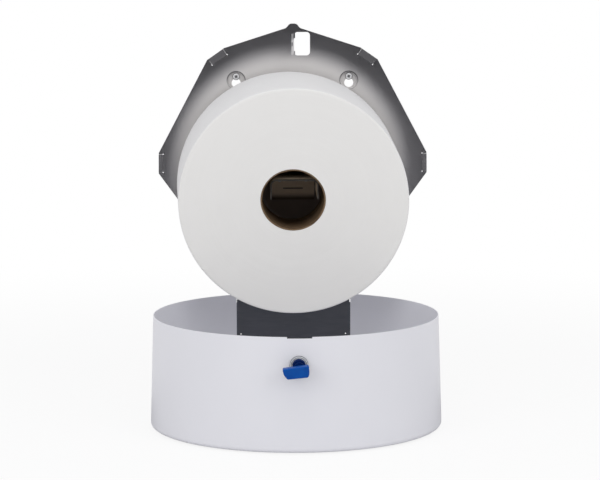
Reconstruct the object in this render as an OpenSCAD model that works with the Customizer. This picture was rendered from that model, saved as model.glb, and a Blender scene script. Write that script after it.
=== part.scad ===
// Jumbo toilet roll dispenser for a wall. The drum cover hangs open on its bottom hinge.
// Millimetres, +Z up. The wall is the plane y = 0 and the dispenser lies in front of it, at negative y.
// The origin is on the wall, at the centre of the drum when the cover is closed.
// Parts of the cover are drawn closed, and opened() swings them down about the hinge.

/* [Cover] */
// Outer radius of the drum at its open rim
cover_r = 155; // [150:1:175]
// How much wider the drum is at its front disc than at the rim, on the radius
cover_flare = 3.6; // [2:0.2:6]
// Depth of the drum from the rim to the front disc
cover_depth = 121; // [116:1:140]
// Sheet thickness of the cover
cover_t = 0.9; // [0.7:0.1:1.4]
// Outer radius of the rounded edge of the front disc
cover_round = 4.5; // [2:0.5:7]
// Gap between the closed rim and the wall
rim_gap = 2.2; // [1:0.1:3]
// Half width of the gap cut out of the drum's wall at its lowest point
exit_half = 65.1; // [40:0.1:70]
// Angle that the cover swings open
open_angle = 90; // [60:5:90]

/* [Back plate] */
// Sheet thickness of the back plate and the spindle
plate_t = 1.5; // [1:0.1:2]
// Depth of the pressed dimples that rest on the wall
pad_depth = 2; // [1:0.1:3]
// Gap between the plate's corners and the inside of the closed drum
corner_clear = 0.6; // [0.4:0.1:3]
// Angle of the upper corner tabs above the horizontal
tab_angle_hi = 55.2; // [48:0.2:60]
// Angle of the side tabs above the horizontal
tab_angle_lo = 0.5; // [-5:0.5:8]
// Length of each short edge that carries a corner tab
corner_edge = 23.4; // [22:0.2:30]
// Length of a corner tab along its fold
tab_len = 20; // [12:0.5:21]
// Distance from the outer edge in to the fold of an upper corner tab
tab_fold_hi = 8; // [3:0.5:8]
// Distance from the outer edge in to the fold of a side tab
tab_fold_lo = 5; // [3:0.5:8]
// How far a corner tab leans forward
tab_reach = 2.5; // [2:0.5:7]
// Radius of the small hole at each end of a fold
relief_r = 0.8; // [0.6:0.1:1.5]
// Gap at each end of a corner tab
tab_gap = 0.2; // [0.2:0.1:1]
// Distance of the roof point and its bump to the right of the middle
peak_x = 0.8; // [-3:0.2:3]
// Height of the roof point above the drum's radius
roof_rise = 2.4; // [0:0.1:2.4]
// Height of the top bump above the drum's radius
bump_rise = 4.9; // [4:0.1:6]
// Half width of the top bump
bump_half = 8.5; // [7:0.5:10]
// Gap on each side between the bump and the rim notch
notch_clear = 4.5; // [4:0.1:5]
// Inset of the lower shoulders from the inside of the drum
shoulder_inset = 6.6; // [2:0.2:20]
// Gap on each side between the lower tongue and the cut in the cover
tongue_clear = 0.3; // [0.3:0.1:3]

/* [Keyholes and wall screws] */
// Distance of each keyhole from the middle
keyhole_x = 64.1; // [50:0.1:75]
// Height of the round entry holes above and below the middle
keyhole_z = 92.6; // [80:0.1:96]
// Radius of the round entry hole
keyhole_r = 5.15; // [4.4:0.05:6]
// Half width of the slot above the entry hole
slot_r = 2.6; // [2.2:0.05:2.9]
// Rise from the entry hole to the top of the slot, between centres
slot_rise = 7.3; // [7:0.1:9]
// Radius of the pressed dimple at the wall
pad_r = 10; // [9.8:0.1:13]
// How much wider the dimple is at the plate's front, on the radius
pad_flare = 1.2; // [0.6:0.1:2]
// Distance from the middle of the keyhole's slot down to the dimple's centre
pad_shift = 0.8; // [0:0.1:1.5]
// Radius of the wall screw's shank
screw_r = 1.9; // [1.5:0.1:2.1]
// Radius of the wall screw's head
screw_head_r = 4; // [3.2:0.1:4.2]
// Height of the wall screw's head
screw_head_h = 2.4; // [1.8:0.1:3]
// Length of the wall screw that goes into the wall
screw_in_wall = 20; // [10:1:40]
// Length of the wall screw's point
screw_tip = 3; // [1:0.5:5]

/* [Strike] */
// Distance from the middle to the window's left edge
window_x = 1.8; // [1:0.1:6]
// Width of the window beside the strike
window_w = 18.2; // [12:0.2:22]
// Height of the window
window_h = 26.6; // [24:0.2:30]
// Distance from the top of the drum's radius down to the window
window_drop = 4.7; // [4.5:0.1:10]
// Corner radius of the window
window_corner = 4.2; // [2:0.1:5]
// Width of the small ears at the root of the strike tab
ear_w = 1.3; // [0.5:0.1:1.8]
// Height of the upper ear
ear_high_h = 7; // [5.5:0.5:8]
// Height of the lower ear
ear_low_h = 5; // [5:0.5:8]
// Length of the strike tab in front of the plate
strike_len = 18.5; // [18:0.1:20]
// Lean of the strike tab to the side
strike_lean = 10; // [0:1:12]
// Space above and below the strike tab inside its window
strike_margin = 1.6; // [1.5:0.1:4]

/* [Spindle] */
// Width of the spindle channel
spindle_w = 53.2; // [40:0.2:54]
// Height of the spindle channel
spindle_h = 22; // [16:0.5:26]
// Corner radius of the spindle channel
spindle_corner = 7; // [3:0.5:10]
// Length of the spindle channel in front of the plate
spindle_len = 104.5; // [80:0.5:112]
// Depth of the flange that fastens the spindle to the plate
flange_drop = 36; // [24:0.5:36]
// Width of the slit in the flange
slit_w = 22.8; // [10:0.2:30]
// Height of the slit in the flange
slit_h = 1.6; // [1:0.1:3]
// Distance from the slit up to the spindle's top
slit_drop = 23; // [20:0.5:26]

/* [Roll] */
// Height of the roll's axis against the drum's centre
roll_z = -28.5; // [-29:0.5:-20]
// Radius of the paper roll
roll_r = 127.6; // [60:0.2:127.6]
// Width of the paper roll
roll_w = 95; // [80:1:98]
// Gap between the plate and the roll
roll_gap = 9; // [9:0.5:11]
// Inner radius of the cardboard core
core_r = 33; // [32:0.1:40]
// Wall thickness of the cardboard core
core_t = 1.5; // [1:0.1:3]
// How far the core stands out of the paper at each end
core_out = 1; // [0:0.5:2]
// Gap between the core and the spindle that carries it
core_gap = 0.3; // [0.2:0.1:1]
// Gap between the core and the paper wound on it
wound_gap = 0.1; // [0.05:0.05:0.3]

/* [Hinge] */
// Height of the hinge axis above the drum's lowest point at the rim
hinge_rise = 2.3; // [2:0.1:2.8]
// Radius of the hinge pin
pin_r = 2; // [1.6:0.1:2.2]
// Gap between the hinge pin and its knuckles, on the radius
pin_clear = 0.05; // [0.03:0.01:0.08]
// Sheet thickness of the hinge leaf and the exit strap
leaf_t = 1.2; // [0.9:0.1:1.4]
// Length of the hinge
hinge_len = 127; // [80:1:127]
// Gap between two knuckles
knuckle_gap = 0.4; // [0.3:0.1:1]
// Height of the fixed hinge leaf
leaf_h = 24; // [18:1:40]
// Radius of the pin's heads
pin_head_r = 2.9; // [2.4:0.1:3.1]
// Thickness of the pin's heads
pin_head_h = 1; // [0.6:0.1:2]

/* [Exit strap] */
// Run of the joggle beside the hinge
joggle_run = 2; // [1.5:0.1:2]
// Depth of a tear tooth
tooth_depth = 2; // [1:0.1:3]
// Pitch of the tear teeth
tooth_pitch = 3.5; // [2.5:0.1:6]
// Overhang of the teeth past the cut in the cover
tooth_over = 2.4; // [2:0.1:4]
// Height of the flange behind the front disc
front_flange_h = 31; // [27:0.5:40]
// Distance from the edges of the paper exit in to the two small holes
strap_hole_inset = 4.8; // [3:0.1:20]
// Distance of the two small holes from the wall
strap_hole_y = 51; // [30:1:90]
// Radius of the two small holes
strap_hole_r = 0.7; // [0.5:0.1:2]

/* [Rivets] */
// Radius of a rivet's shank
rivet_r = 1.6; // [1.2:0.1:2]
// Gap between a rivet's shank and its hole, on the radius
rivet_clear = 0.05; // [0.03:0.01:0.1]
// Radius of a rivet's head
rivet_head_r = 3.4; // [2.8:0.1:4]
// Height of a rivet's head
rivet_head_h = 1.4; // [1:0.1:2]
// Height of a rivet's rim below its crown
rivet_rim_h = 0.6; // [0.4:0.1:0.8]
// Radius of a rivet's flat crown
rivet_crown_r = 1.9; // [1:0.1:2.4]
// Height of a rivet's closed end
rivet_tail_h = 1; // [0.8:0.1:1]
// Radius of a rivet's closed end
rivet_tail_r = 2.7; // [2.2:0.1:3.2]
// Distance from each end of the hinge leaf to its outer rivets
leaf_rivet_inset = 17.4; // [8:0.1:30]
// Distance from each edge of the spindle's flange to its rivet
spindle_rivet_inset = 9.5; // [6:0.1:14]
// Distance from the round of the channel's corner down to the spindle's rivets
spindle_rivet_drop = 5; // [4:0.5:8]
// Distance from the top of the strap's front flange down to its rivets
strap_rivet_drop = 6.1; // [4:0.1:8]
// Distance from each edge of the paper exit to the outer strap rivets
strap_rivet_inset = 15; // [8:0.5:25]
// Distance from the middle to the inner strap rivets
strap_rivet_inner = 21.5; // [10:0.5:35]

/* [Lock] */
// Distance from the rim to the lock's axis
lock_inset = 28.8; // [27:0.1:32]
// Radius of the chrome ring around the key
ring_r = 9.7; // [8.5:0.1:12]
// Thickness of the chrome ring
ring_t = 2.4; // [1.8:0.1:4]
// Radius of the recess in the ring
recess_r = 7; // [6.8:0.1:7.4]
// Depth of the recess in the ring
recess_depth = 1.4; // [1:0.1:1.6]
// Radius of the lock's body
lock_body_r = 6.5; // [6.2:0.1:7]
// Radius of the turning plug
plug_r = 4.9; // [4.4:0.1:5]
// Gap between the plug and the lock's body
plug_clear = 0.05; // [0.03:0.01:0.1]
// Gap between the lock's body and the hole in the cover
lock_hole_clear = 0.15; // [0.1:0.05:0.3]
// Distance across the flats of the lock's nut
nut_flats = 17; // [16:0.5:18]
// Height of the lock's nut
nut_h = 4; // [3:0.5:4]
// Radius of the lock's washer
washer_r = 9.5; // [9:0.1:11]
// Thickness of the washers
washer_t = 1; // [0.6:0.1:1.2]
// Inner radius of the cam's hooked finger
finger_in = 13; // [12.5:0.1:13.5]
// Outer radius of the cam's hooked finger
finger_out = 17; // [16:0.1:17.2]
// Thickness of the cam
cam_t = 2; // [1.5:0.1:2.4]
// Radius of the cam's hub
cam_hub_r = 6.6; // [6:0.1:6.8]
// Gap around the cam's finger in the slot of the strike
strike_slot_clear = 1.3; // [0.8:0.1:1.4]
// Side of the square drives in the plug
drive_w = 5; // [4:0.1:5.4]
// Gap on each side of a square drive
drive_clear = 0.06; // [0.04:0.01:0.1]
// Radius of the cam screw's shank
cam_screw_r = 1.5; // [1:0.1:1.6]

/* [Key] */
// Length of the key's square shank
shank_len = 11; // [8:0.5:13]
// Gap around the key's collar in the ring
collar_clear = 0.15; // [0.1:0.05:0.3]
// Length of the key's collar
collar_len = 5.5; // [3:0.5:8]
// Radius of the key's neck
neck_r = 4.6; // [4:0.1:5.5]
// Length of the key's neck
neck_len = 3; // [1:0.5:8]
// Length of the key's bow along the lock's axis
bow_len = 12; // [6:0.5:16]
// Width of the key's bow
bow_w = 27.5; // [20:0.5:32]
// Height of the key's bow
bow_h = 13.5; // [9:0.5:18]
// Tilt of the key's bow
bow_tilt = 6.8; // [0:0.2:15]

/* [Hidden] */
$fn = 96;
cut = 0.5;
far = 400;
cross_w = 0.8;
point_r = 0.3;
head_taper = 1.1;

// Wall and plate planes
plate_back = -pad_depth;
plate_front = plate_back - plate_t;
drum_in = cover_r - cover_t;
cover_base_r = cover_r + cover_flare;

// Back plate outline
corner_r = drum_in - corner_clear;
corner_d = sqrt(pow(corner_r, 2) - pow(corner_edge / 2, 2));
tongue_half = exit_half - tongue_clear;
shoulder_z = -sqrt(pow(drum_in - shoulder_inset, 2) - pow(tongue_half, 2));
roof_z = cover_r + roof_rise;
bump_z = cover_r + bump_rise;
bump_steps = 10;
notch_half = bump_half + notch_clear;
notch_clear_y = 0.3;
notch_depth = -plate_front + notch_clear_y - rim_gap;

fold_bend = 0.5;

// Keyhole dimples
pad_z = slot_rise / 2 - pad_shift;
pad_wall = 1.2;
pad_inner_r = pad_r - pad_wall;

// Hinge
knuckle_r = pin_r + leaf_t;
hinge_y = plate_front - knuckle_r;
hinge_z = hinge_rise - cover_r;
knuckles = 5;
knuckle_step = hinge_len / knuckles;
sweep_clear = 0.5;
leaf_top = hinge_z + leaf_h;
leaf_bottom = hinge_z + knuckle_r + sweep_clear;
tongue_bottom = leaf_bottom + 0.4;
leaf_rivet_z = (leaf_top + tongue_bottom) / 2;
leaf_rivet_x = hinge_len / 2 - leaf_rivet_inset;
pin_end_gap = 0.1;

// Exit strap, seen from the side with the cover closed
floor_low = -cover_base_r;
floor_high = floor_low + leaf_t;
strap_start = hinge_y - knuckle_r - sweep_clear;
strap_low = hinge_z - knuckle_r;
strap_high = strap_low + leaf_t;
disc_outer = -rim_gap - cover_depth;
disc_inner = disc_outer + cover_t;
flange_back = disc_inner + leaf_t;
flange_top = floor_low + front_flange_h;
tooth_half = exit_half + tooth_over;
teeth_start = strap_start - joggle_run - 2;
teeth_room = teeth_start - flange_back - 4;
teeth = floor(teeth_room / tooth_pitch);
strap_rivet_z = flange_top - strap_rivet_drop;
strap_rivet_outer = exit_half - strap_rivet_inset;

// Roll and spindle
roll_back = plate_front - roll_gap;
core_out_r = core_r + core_t;
corner_x = spindle_w / 2 - spindle_corner;
corner_rise = sqrt(pow(core_r - core_gap - spindle_corner, 2) - pow(corner_x, 2));
spindle_top = roll_z + corner_rise + spindle_corner;
flange_half = spindle_w / 2 - plate_t - 0.6;
flange_low = spindle_top - flange_drop;
spindle_rivet_x = flange_half - spindle_rivet_inset;
spindle_rivet_z = spindle_top - spindle_corner - spindle_rivet_drop;

// Lock, along z with the cover closed
lock_y = -rim_gap - lock_inset;
drum_at_lock = cover_r + cover_flare * (lock_inset + ring_r) / (cover_depth - cover_round);
inner_at_lock = cover_r + cover_flare * (lock_inset - washer_r) / (cover_depth - cover_round) - cover_t;
seat_gap = 0.05;
ring_low = drum_at_lock + seat_gap;
ring_high = ring_low + ring_t;
recess_floor = ring_high - recess_depth;
window_high = cover_r - window_drop;
window_low = window_high - window_h;
cam_z = (window_high + window_low) / 2;
cam_high = cam_z + cam_t / 2;
cam_low = cam_z - cam_t / 2;
body_low = cam_high + 0.25;
washer_high = sqrt(pow(inner_at_lock, 2) - pow(washer_r, 2)) - seat_gap;
washer_low = washer_high - washer_t;
nut_high = washer_low;
nut_low = nut_high - nut_h;
plug_head_t = 0.5;
plug_head_high = recess_floor + seat_gap + plug_head_t;
plug_low = body_low - 0.05;
tang_low = cam_low + 0.05;
socket_low = plug_head_high - shank_len - 1;
cam_washer_high = cam_low;
cam_washer_low = cam_washer_high - washer_t * 0.8;
cam_screw_head_r = 3.4;
cam_screw_head_h = 2;
cam_screw_in = 7;

// Strike
finger_mid = (finger_in + finger_out) / 2;
strike_slot_mid = -(lock_y + finger_mid - plate_front) / cos(strike_lean);
strike_slot_len = finger_out - finger_in + 2 * strike_slot_clear;
strike_slot_h = cam_t + 2 * strike_slot_clear;

// Key
collar_low = plug_head_high + 0.2;
neck_low = collar_low + collar_len;
bow_low = neck_low + neck_len;
bow_x = -3.3;
bow_y = -4.4;

module opened() {
    translate([0, hinge_y, hinge_z])
        rotate([open_angle, 0, 0])
            translate([0, -hinge_y, -hinge_z])
                children();
}

module along_wall_axis(y_from) {
    translate([0, y_from, 0])
        rotate([90, 0, 0])
            children();
}

module along_x(x_from, y, z) {
    translate([x_from, y, z])
        rotate([0, 90, 0])
            children();
}

// The cross-shaped driver recess of a screw head, upwards from its floor
module cross_recess(head_r, height) {
    for (turn = [0, 90])
        rotate(turn)
            translate([-head_r / 2, -cross_w / 2, 0])
                cube([head_r, cross_w, height]);
}

module rounded_plate(w, h, r) {
    translate([r, 0])
        square([w - 2 * r, h]);
    translate([0, r])
        square([w, h - 2 * r]);
    for (x = [r, w - r], z = [r, h - r])
        translate([x, z])
            circle(r);
}

// A rivet along +z from its tail: closed end below 0, sheets between 0 and grip, head above
module rivet(grip) {
    translate([0, 0, -rivet_tail_h])
        cylinder(h = rivet_tail_h, r = rivet_tail_r);
    cylinder(h = grip, r = rivet_r);
    translate([0, 0, grip])
        cylinder(h = rivet_rim_h, r = rivet_head_r);
    translate([0, 0, grip + rivet_rim_h])
        cylinder(h = rivet_head_h - rivet_rim_h, r1 = rivet_head_r, r2 = rivet_crown_r);
}

module rivet_hole(grip) {
    translate([0, 0, -cut])
        cylinder(h = grip + 2 * cut, r = rivet_r + rivet_clear);
}

// Places things at the four keyholes, at the round entry
module at_keyholes() {
    for (x = [-keyhole_x, keyhole_x], z = [-keyhole_z, keyhole_z])
        translate([x, 0, z])
            children();
}

// Places things at the two corner tabs of an angle: local x runs along the fold and local y points outwards
module at_tabs(angle) {
    for (side = [0, 1])
        mirror([side, 0])
            rotate(angle - 90)
                translate([0, corner_d])
                    children();
}

// Corner points of one short edge of the outline, upper point first
function corner_pair(angle) = [
    for (s = [1, -1])
        corner_d * [cos(angle), sin(angle)] + s * corner_edge / 2 * [-sin(angle), cos(angle)]
];
roof_corner = corner_pair(tab_angle_hi)[0];
function roof_at(x) =
    roof_z + (roof_corner[1] - roof_z) * abs(x - peak_x) / (roof_corner[0] - sign(x - peak_x) * peak_x);
function flip(points) = [for (i = [len(points) - 1:-1:0]) [-points[i][0], points[i][1]]];

// The bump rises smoothly from the roof on both sides, from left to right
bump_outline = [
    for (i = [-bump_steps / 2:bump_steps / 2])
        let (share = 2 * i / bump_steps, foot = roof_at(peak_x + sign(share) * bump_half))
            [peak_x + share * bump_half, foot + (bump_z - foot) * (1 + cos(180 * share * share)) / 2]
];
half_outline = concat(
    corner_pair(tab_angle_hi),
    corner_pair(tab_angle_lo),
    [[tongue_half, shoulder_z], [tongue_half, tongue_bottom]]
);

// What is cut from the plate's outline round a corner tab
module tab_cut(fold) {
    translate([-tab_len / 2 - tab_gap, -fold])
        square([tab_len + 2 * tab_gap, fold + far]);
    for (s = [-1, 1])
        translate([s * (tab_len / 2 + tab_gap), -fold])
            circle(relief_r, $fn = 32);
}

module plate_outline() {
    difference() {
        polygon(concat(half_outline, flip(half_outline), bump_outline));
        at_tabs(tab_angle_hi)
            tab_cut(tab_fold_hi);
        at_tabs(tab_angle_lo)
            tab_cut(tab_fold_lo);
        translate([window_x, window_low])
            difference() {
                rounded_plate(window_w, window_h, window_corner);
                translate([-cut, window_h - ear_high_h])
                    square([ear_w + cut, ear_high_h + cut]);
                translate([-cut, -cut])
                    square([ear_w + cut, ear_low_h + cut]);
            }
    }
}

// The sheet of a corner tab, bent forward from its fold
module tab_sheet(fold) {
    fold_root = -fold - fold_bend;
    translate([-tab_len / 2, 0, 0])
        rotate([90, 0, 90])
            linear_extrude(tab_len)
                polygon([
                    [fold_root, 0], [-fold + fold_bend, 0], [0, tab_reach],
                    [0, tab_reach + plate_t], [-fold, plate_t], [fold_root, plate_t]
                ]);
}

module strike_tab() {
    strike_h = window_h - 2 * strike_margin;
    slot_from = strike_slot_mid - strike_slot_len / 2;
    translate([window_x, plate_front, 0])
        rotate([0, 0, -strike_lean])
            difference() {
                translate([-plate_t, -strike_len, cam_z - strike_h / 2])
                    cube([plate_t, strike_len + plate_t / 2, strike_h]);
                translate([-plate_t - cut, -slot_from - strike_slot_len, cam_z - strike_slot_h / 2])
                    cube([plate_t + 2 * cut, strike_slot_len, strike_slot_h]);
            }
}

module back_plate() {
    color("gray")
        difference() {
            union() {
                along_wall_axis(plate_back)
                    linear_extrude(plate_t)
                        plate_outline();
                along_wall_axis(plate_back) {
                    at_tabs(tab_angle_hi)
                        tab_sheet(tab_fold_hi);
                    at_tabs(tab_angle_lo)
                        tab_sheet(tab_fold_lo);
                }
                strike_tab();
                at_keyholes()
                    along_wall_axis(0)
                        translate([0, pad_z, 0])
                            cylinder(h = pad_depth + plate_t / 2, r1 = pad_r, r2 = pad_r + pad_flare);
            }
            at_keyholes()
                along_wall_axis(0) {
                    translate([0, pad_z, plate_t])
                        cylinder(h = pad_depth + cut, r1 = pad_inner_r, r2 = pad_inner_r + pad_flare);
                    translate([0, 0, -cut])
                        cylinder(h = plate_t + 2 * cut, r = keyhole_r);
                    translate([0, slot_rise, -cut])
                        cylinder(h = plate_t + 2 * cut, r = slot_r);
                    translate([-slot_r, 0, -cut])
                        cube([2 * slot_r, slot_rise, plate_t + 2 * cut]);
                }
            at_spindle_rivets()
                rivet_hole(2 * plate_t);
            at_leaf_rivets()
                rivet_hole(plate_t + leaf_t);
        }
}

module wall_screws() {
    color("silver")
        at_keyholes()
            translate([0, 0, slot_rise])
                along_wall_axis(0) {
                    translate([0, 0, -screw_in_wall + screw_tip])
                        cylinder(h = screw_in_wall - screw_tip + plate_t, r = screw_r);
                    translate([0, 0, -screw_in_wall])
                        cylinder(h = screw_tip, r1 = point_r, r2 = screw_r);
                    translate([0, 0, plate_t])
                        difference() {
                            cylinder(h = screw_head_h, r1 = screw_head_r, r2 = screw_head_r - head_taper);
                            translate([0, 0, screw_head_h / 2])
                                cross_recess(screw_head_r, screw_head_h);
                        }
                }
}

module at_spindle_rivets() {
    for (x = [-spindle_rivet_x, spindle_rivet_x])
        translate([x, plate_back, spindle_rivet_z])
            rotate([90, 0, 0])
                children();
}

module at_leaf_rivets() {
    for (x = [-leaf_rivet_x, 0, leaf_rivet_x])
        translate([x, plate_back, leaf_rivet_z])
            rotate([90, 0, 0])
                children();
}

// Outline of the inverted channel, seen from the front
module channel_shape(inset) {
    r = spindle_corner - inset;
    w = spindle_w - 2 * inset;
    top = spindle_top - inset;
    low = spindle_top - spindle_h - (inset > 0 ? cut : 0);
    translate([-w / 2, low])
        square([w, top - r - low]);
    translate([-w / 2 + r, low])
        square([w - 2 * r, top - low]);
    for (s = [-1, 1])
        translate([s * (w / 2 - r), top - r])
            circle(r);
}

module spindle() {
    color("gray")
        difference() {
            union() {
                along_wall_axis(plate_front)
                    linear_extrude(spindle_len)
                        difference() {
                            channel_shape(0);
                            channel_shape(plate_t);
                        }
                translate([-flange_half, plate_front - plate_t, flange_low])
                    cube([2 * flange_half, plate_t, flange_drop - plate_t / 2]);
            }
            translate([-slit_w / 2, plate_front - plate_t - cut, spindle_top - slit_drop - slit_h / 2])
                cube([slit_w, plate_t + 2 * cut, slit_h]);
            at_spindle_rivets()
                rivet_hole(2 * plate_t);
        }
}

module spindle_rivets() {
    color("silver")
        at_spindle_rivets()
            rivet(2 * plate_t);
}

function knuckle_x(index) = -hinge_len / 2 + index * knuckle_step + knuckle_gap / 2;

module knuckle(index) {
    along_x(knuckle_x(index), hinge_y, hinge_z)
        cylinder(h = knuckle_step - knuckle_gap, r = knuckle_r);
}

module pin_bore() {
    along_x(-hinge_len / 2 - cut, hinge_y, hinge_z)
        cylinder(h = hinge_len + 2 * cut, r = pin_r + pin_clear);
}

module hinge_leaf() {
    color("silver")
        difference() {
            union() {
                translate([-hinge_len / 2, plate_front - leaf_t, leaf_bottom])
                    cube([hinge_len, leaf_t, leaf_top - leaf_bottom]);
                for (i = [0:2:knuckles - 1]) {
                    knuckle(i);
                    translate([knuckle_x(i), plate_front - leaf_t, hinge_z])
                        cube([knuckle_step - knuckle_gap, leaf_t, leaf_bottom - hinge_z + cut]);
                }
            }
            pin_bore();
            at_leaf_rivets()
                rivet_hole(plate_t + leaf_t);
        }
}

module leaf_rivets() {
    color("silver")
        at_leaf_rivets()
            rivet(plate_t + leaf_t);
}

module hinge_pin() {
    reach = hinge_len / 2 + pin_end_gap;
    color("silver") {
        along_x(-reach, hinge_y, hinge_z)
            cylinder(h = 2 * reach, r = pin_r);
        for (x = [-reach - pin_head_h, reach])
            along_x(x, hinge_y, hinge_z)
                cylinder(h = pin_head_h, r = pin_head_r);
    }
}

// Half section of the drum: radius against depth from the rim, with a rounded front edge
function drum_section(r_rim, r_base, depth, r_edge) = concat(
    [[0, 0], [r_rim, 0]],
    [for (a = [0:15:90]) [r_base - r_edge + r_edge * cos(a), depth - r_edge + r_edge * sin(a)]],
    [[0, depth]]
);

module cover_shell() {
    color("white")
        opened()
            difference() {
                along_wall_axis(-rim_gap)
                    difference() {
                        rotate_extrude($fn = 180)
                            polygon(drum_section(cover_r, cover_base_r, cover_depth, cover_round));
                        translate([0, 0, -cut])
                            rotate_extrude($fn = 180)
                                polygon(drum_section(
                                    drum_in, cover_base_r - cover_t,
                                    cover_depth - cover_t + cut, cover_round - cover_t));
                    }
                // Paper exit through the wall, down to the back of the front disc
                translate([-exit_half, disc_inner, -far])
                    cube([2 * exit_half, far, far]);
                // The front disc keeps a plain edge below the exit
                difference() {
                    translate([-exit_half, disc_outer - cut, -far])
                        cube([2 * exit_half, cover_t + 2 * cut, far]);
                    along_wall_axis(disc_outer + cover_t + 2 * cut)
                        cylinder(h = cover_t + 4 * cut, r = cover_base_r - cover_round, $fn = 180);
                }
                // Notch for the plate's top bump
                translate([peak_x - notch_half, -rim_gap - notch_depth, 0])
                    cube([2 * notch_half, notch_depth + cut, far]);
                translate([0, lock_y, 0])
                    cylinder(h = far, r = lock_body_r + lock_hole_clear);
                at_strap_rivets()
                    rivet_hole(leaf_t + cover_t);
            }
}

module at_strap_rivets() {
    for (x = [-strap_rivet_outer, -strap_rivet_inner, strap_rivet_inner, strap_rivet_outer])
        translate([x, flange_back, strap_rivet_z])
            rotate([90, 0, 0])
                children();
}

// Side view of the strap: knuckle end, joggle, floor and front flange
module strap_section() {
    polygon([
        [strap_start, strap_high], [strap_start, strap_low], [strap_start - joggle_run, floor_low],
        [disc_inner, floor_low], [disc_inner, flange_top], [flange_back, flange_top],
        [flange_back, floor_high], [strap_start - joggle_run, floor_high]
    ]);
}

// Plan of the strap, with tear teeth along both sides
module strap_plan() {
    side = concat(
        [[tongue_half, strap_start + cut], [tongue_half, teeth_start]],
        [for (i = [0:teeth - 1], p = [0, 1]) [
            tooth_half - (p == 0 ? tooth_depth : 0),
            teeth_start - (i + p / 2) * tooth_pitch
        ]],
        [[tooth_half - tooth_depth, teeth_start - teeth * tooth_pitch]],
        [[tongue_half, teeth_start - teeth * tooth_pitch], [tongue_half, disc_inner - cut]]
    );
    polygon(concat(side, flip(side)));
}

module exit_strap() {
    color("gray")
        opened()
            difference() {
                union() {
                    intersection() {
                        translate([-far / 2, 0, 0])
                            rotate([90, 0, 90])
                                linear_extrude(far)
                                    strap_section();
                        translate([0, 0, -far])
                            linear_extrude(far)
                                strap_plan();
                    }
                    for (i = [1:2:knuckles - 1]) {
                        knuckle(i);
                        translate([knuckle_x(i), strap_start - cut / 2, strap_low])
                            cube([knuckle_step - knuckle_gap, hinge_y - strap_start + cut / 2, leaf_t]);
                    }
                }
                pin_bore();
                for (s = [-1, 1])
                    translate([s * (exit_half - strap_hole_inset), -strap_hole_y, -far])
                        cylinder(h = far, r = strap_hole_r);
                at_strap_rivets()
                    rivet_hole(leaf_t + cover_t);
            }
}

module strap_rivets() {
    color("silver")
        opened()
            at_strap_rivets()
                rivet(leaf_t + cover_t);
}

module at_lock() {
    opened()
        translate([0, lock_y, 0])
            children();
}

module square_drive(side, z_from, height) {
    translate([-side / 2, -side / 2, z_from])
        cube([side, side, height]);
}

module lock_housing() {
    color("silver")
        at_lock()
            difference() {
                union() {
                    translate([0, 0, body_low])
                        cylinder(h = ring_low - body_low + cut, r = lock_body_r);
                    translate([0, 0, ring_low])
                        cylinder(h = ring_t * 0.6, r = ring_r);
                    translate([0, 0, ring_low + ring_t * 0.6])
                        cylinder(h = ring_t * 0.4, r1 = ring_r, r2 = ring_r - 1);
                }
                translate([0, 0, body_low - cut])
                    cylinder(h = ring_high - body_low + 2 * cut, r = plug_r + plug_clear);
                translate([0, 0, recess_floor])
                    cylinder(h = recess_depth + cut, r = recess_r);
            }
}

module lock_washer() {
    color("silver")
        at_lock()
            translate([0, 0, washer_low])
                difference() {
                    cylinder(h = washer_t, r = washer_r);
                    translate([0, 0, -cut])
                        cylinder(h = washer_t + 2 * cut, r = lock_body_r + plug_clear);
                }
}

module lock_nut() {
    color("silver")
        at_lock()
            translate([0, 0, nut_low])
                difference() {
                    cylinder(h = nut_h, r = nut_flats / 2 / cos(30), $fn = 6);
                    translate([0, 0, -cut])
                        cylinder(h = nut_h + 2 * cut, r = lock_body_r + plug_clear);
                }
}

module lock_plug() {
    color("silver")
        at_lock()
            difference() {
                union() {
                    translate([0, 0, plug_low])
                        cylinder(h = plug_head_high - plug_low, r = plug_r);
                    translate([0, 0, recess_floor + seat_gap])
                        cylinder(h = plug_head_t, r = recess_r - 0.3);
                    square_drive(drive_w, tang_low, plug_low - tang_low + cut);
                }
                square_drive(drive_w + 2 * drive_clear, socket_low, far);
                translate([0, 0, tang_low - cut])
                    cylinder(h = cam_screw_in + cut, r = cam_screw_r + drive_clear);
            }
}

// The hooked finger is a ring sector, and its arm joins the sector to the hub
module cam_shape() {
    finger_from = 158;
    finger_to = 216;
    arm_from = 203;
    reach = finger_out * 1.6;
    difference() {
        union() {
            circle(cam_hub_r);
            intersection() {
                circle(finger_out);
                polygon([[0, 0], for (a = [finger_from:(finger_to - finger_from) / 2:finger_to])
                    reach * [cos(a), sin(a)]]);
            }
        }
        difference() {
            polygon([[0, 0], for (a = [finger_from - 2, (finger_from + arm_from) / 2, arm_from])
                reach * [cos(a), sin(a)]]);
            difference() {
                circle(finger_out + 1);
                circle(finger_in);
            }
            circle(cam_hub_r);
        }
    }
}

module lock_cam() {
    color("silver")
        at_lock()
            difference() {
                translate([0, 0, cam_low])
                    linear_extrude(cam_t)
                        cam_shape();
                square_drive(drive_w + 2 * drive_clear, cam_low - cut, cam_t + 2 * cut);
            }
}

module cam_washer() {
    color("silver")
        at_lock()
            translate([0, 0, cam_washer_low])
                difference() {
                    cylinder(h = cam_washer_high - cam_washer_low, r = cam_hub_r - 1);
                    translate([0, 0, -cut])
                        cylinder(h = washer_t + 2 * cut, r = cam_screw_r + drive_clear);
                }
}

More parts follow.
